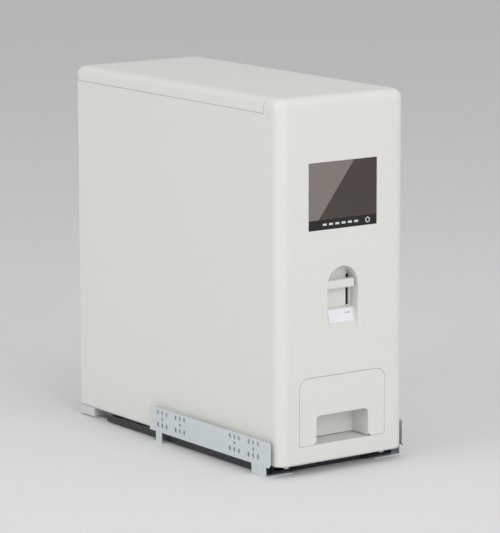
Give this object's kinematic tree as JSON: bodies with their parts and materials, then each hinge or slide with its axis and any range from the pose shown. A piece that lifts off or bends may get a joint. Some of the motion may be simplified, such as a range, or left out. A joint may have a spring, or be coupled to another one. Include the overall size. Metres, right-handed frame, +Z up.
{
  "type": "pull-out rice dispenser",
  "caption": "Slim rice bin on cabinet runners with a hinged lid, sight window, push-down dosing lever, metering drum and catch drawer.",
  "frame": {"origin": "on the cabinet floor, in the middle of the footprint", "axes": "+Z up, -Y is the front, +X to the right as seen from the front"},
  "size_m": [0.214, 0.46, 0.476],
  "materials": {
    "galvanised_steel": "galvanised, satin",
    "black_rail_steel": "black, satin",
    "zinc_sheet": "zinc plated, satin",
    "light_grey_plastic": "matt",
    "bright_steel": "bright",
    "white_plastic": "fine satin grain",
    "inner_white_plastic": "plain moulded",
    "nylon": "natural nylon",
    "smoked_window": "smoked, glossy",
    "label_white": "bright white, glossy",
    "seal_rubber": "soft, matt"
  },
  "bodies": {
    "cabinet_rails": {"side_bracket_left": "galvanised_steel", "side_bracket_right": "galvanised_steel", "outer_rail_left": "black_rail_steel", "outer_rail_right": "black_rail_steel", "front_tie_bar": "black_rail_steel", "rear_cross_plate": "zinc_sheet", "rear_foot_left": "light_grey_plastic", "rear_foot_right": "light_grey_plastic", "rail_end_stops": "light_grey_plastic", "frame_rivets": "bright_steel"},
    "middle_rails": {"middle_rail_left": "black_rail_steel", "middle_rail_right": "black_rail_steel", "ball_retainers": "nylon", "bearing_balls": "bright_steel"},
    "bin": {"inner_rail_left": "black_rail_steel", "inner_rail_right": "black_rail_steel", "rail_clips": "light_grey_plastic", "base_plate": "zinc_sheet", "base_screws": "bright_steel", "body_shell": "white_plastic", "rear_cover": "inner_white_plastic", "rear_cover_screws": "bright_steel", "hopper": "inner_white_plastic", "hopper_screws": "bright_steel", "window_pane": "smoked_window", "window_gasket": "seal_rubber", "dose_label": "label_white", "mechanism_plate_left": "zinc_sheet", "mechanism_plate_right": "zinc_sheet", "plate_spacers": "zinc_sheet", "mechanism_screws": "bright_steel", "lever_bushes": "nylon", "drum_bushes": "nylon", "drum_housing": "inner_white_plastic", "outlet_chute": "inner_white_plastic", "return_spring": "bright_steel", "drawer_guide_left": "inner_white_plastic", "drawer_guide_right": "inner_white_plastic", "hinge_brackets": "zinc_sheet", "hinge_screws": "bright_steel", "hinge_pins": "bright_steel"},
    "lid": {"lid": "white_plastic", "lid_seal": "seal_rubber"},
    "lever": {"dosing_lever": "white_plastic", "lever_shaft": "bright_steel", "drive_sector": "nylon", "lever_retaining_rings": "bright_steel"},
    "drum": {"metering_drum": "nylon", "drum_shaft": "bright_steel", "drum_pinion": "nylon", "drum_retaining_rings": "bright_steel"},
    "drawer": {"drawer_front": "white_plastic", "drawer_tray": "inner_white_plastic", "drawer_screws": "bright_steel"}
  },
  "joints": [
    {"name": "bin_slide", "type": "slide", "parent": "cabinet_rails", "child": "bin", "axis": [0, -1, 0], "range_m": [0, 0.35]},
    {"name": "middle_slide", "type": "slide", "parent": "cabinet_rails", "child": "middle_rails", "axis": [0, -1, 0], "range_m": [0, 0.175]},
    {"name": "lid_hinge", "type": "hinge", "parent": "bin", "child": "lid", "pos_m": [0, 0.224, 0.4625], "axis": [-1, 0, 0], "range_deg": [0, 90]},
    {"name": "lever_press", "type": "hinge", "parent": "bin", "child": "lever", "pos_m": [0, -0.165, 0.223], "axis": [1, 0, 0], "range_deg": [0, 25], "stiffness_Nm_per_rad": 1, "springref_deg": -17.19},
    {"name": "drum_turn", "type": "hinge", "parent": "bin", "child": "drum", "pos_m": [0, -0.07, 0.16755], "axis": [1, 0, 0], "range_deg": [-100, 0]},
    {"name": "drawer_slide", "type": "slide", "parent": "bin", "child": "drawer", "axis": [0, -1, 0], "range_m": [0, 0.15]}
  ],
  "couplings": [
    {"joint": "middle_slide", "follows": "bin_slide", "ratio": 0.5},
    {"joint": "drum_turn", "follows": "lever_press", "ratio": -4}
  ]
}
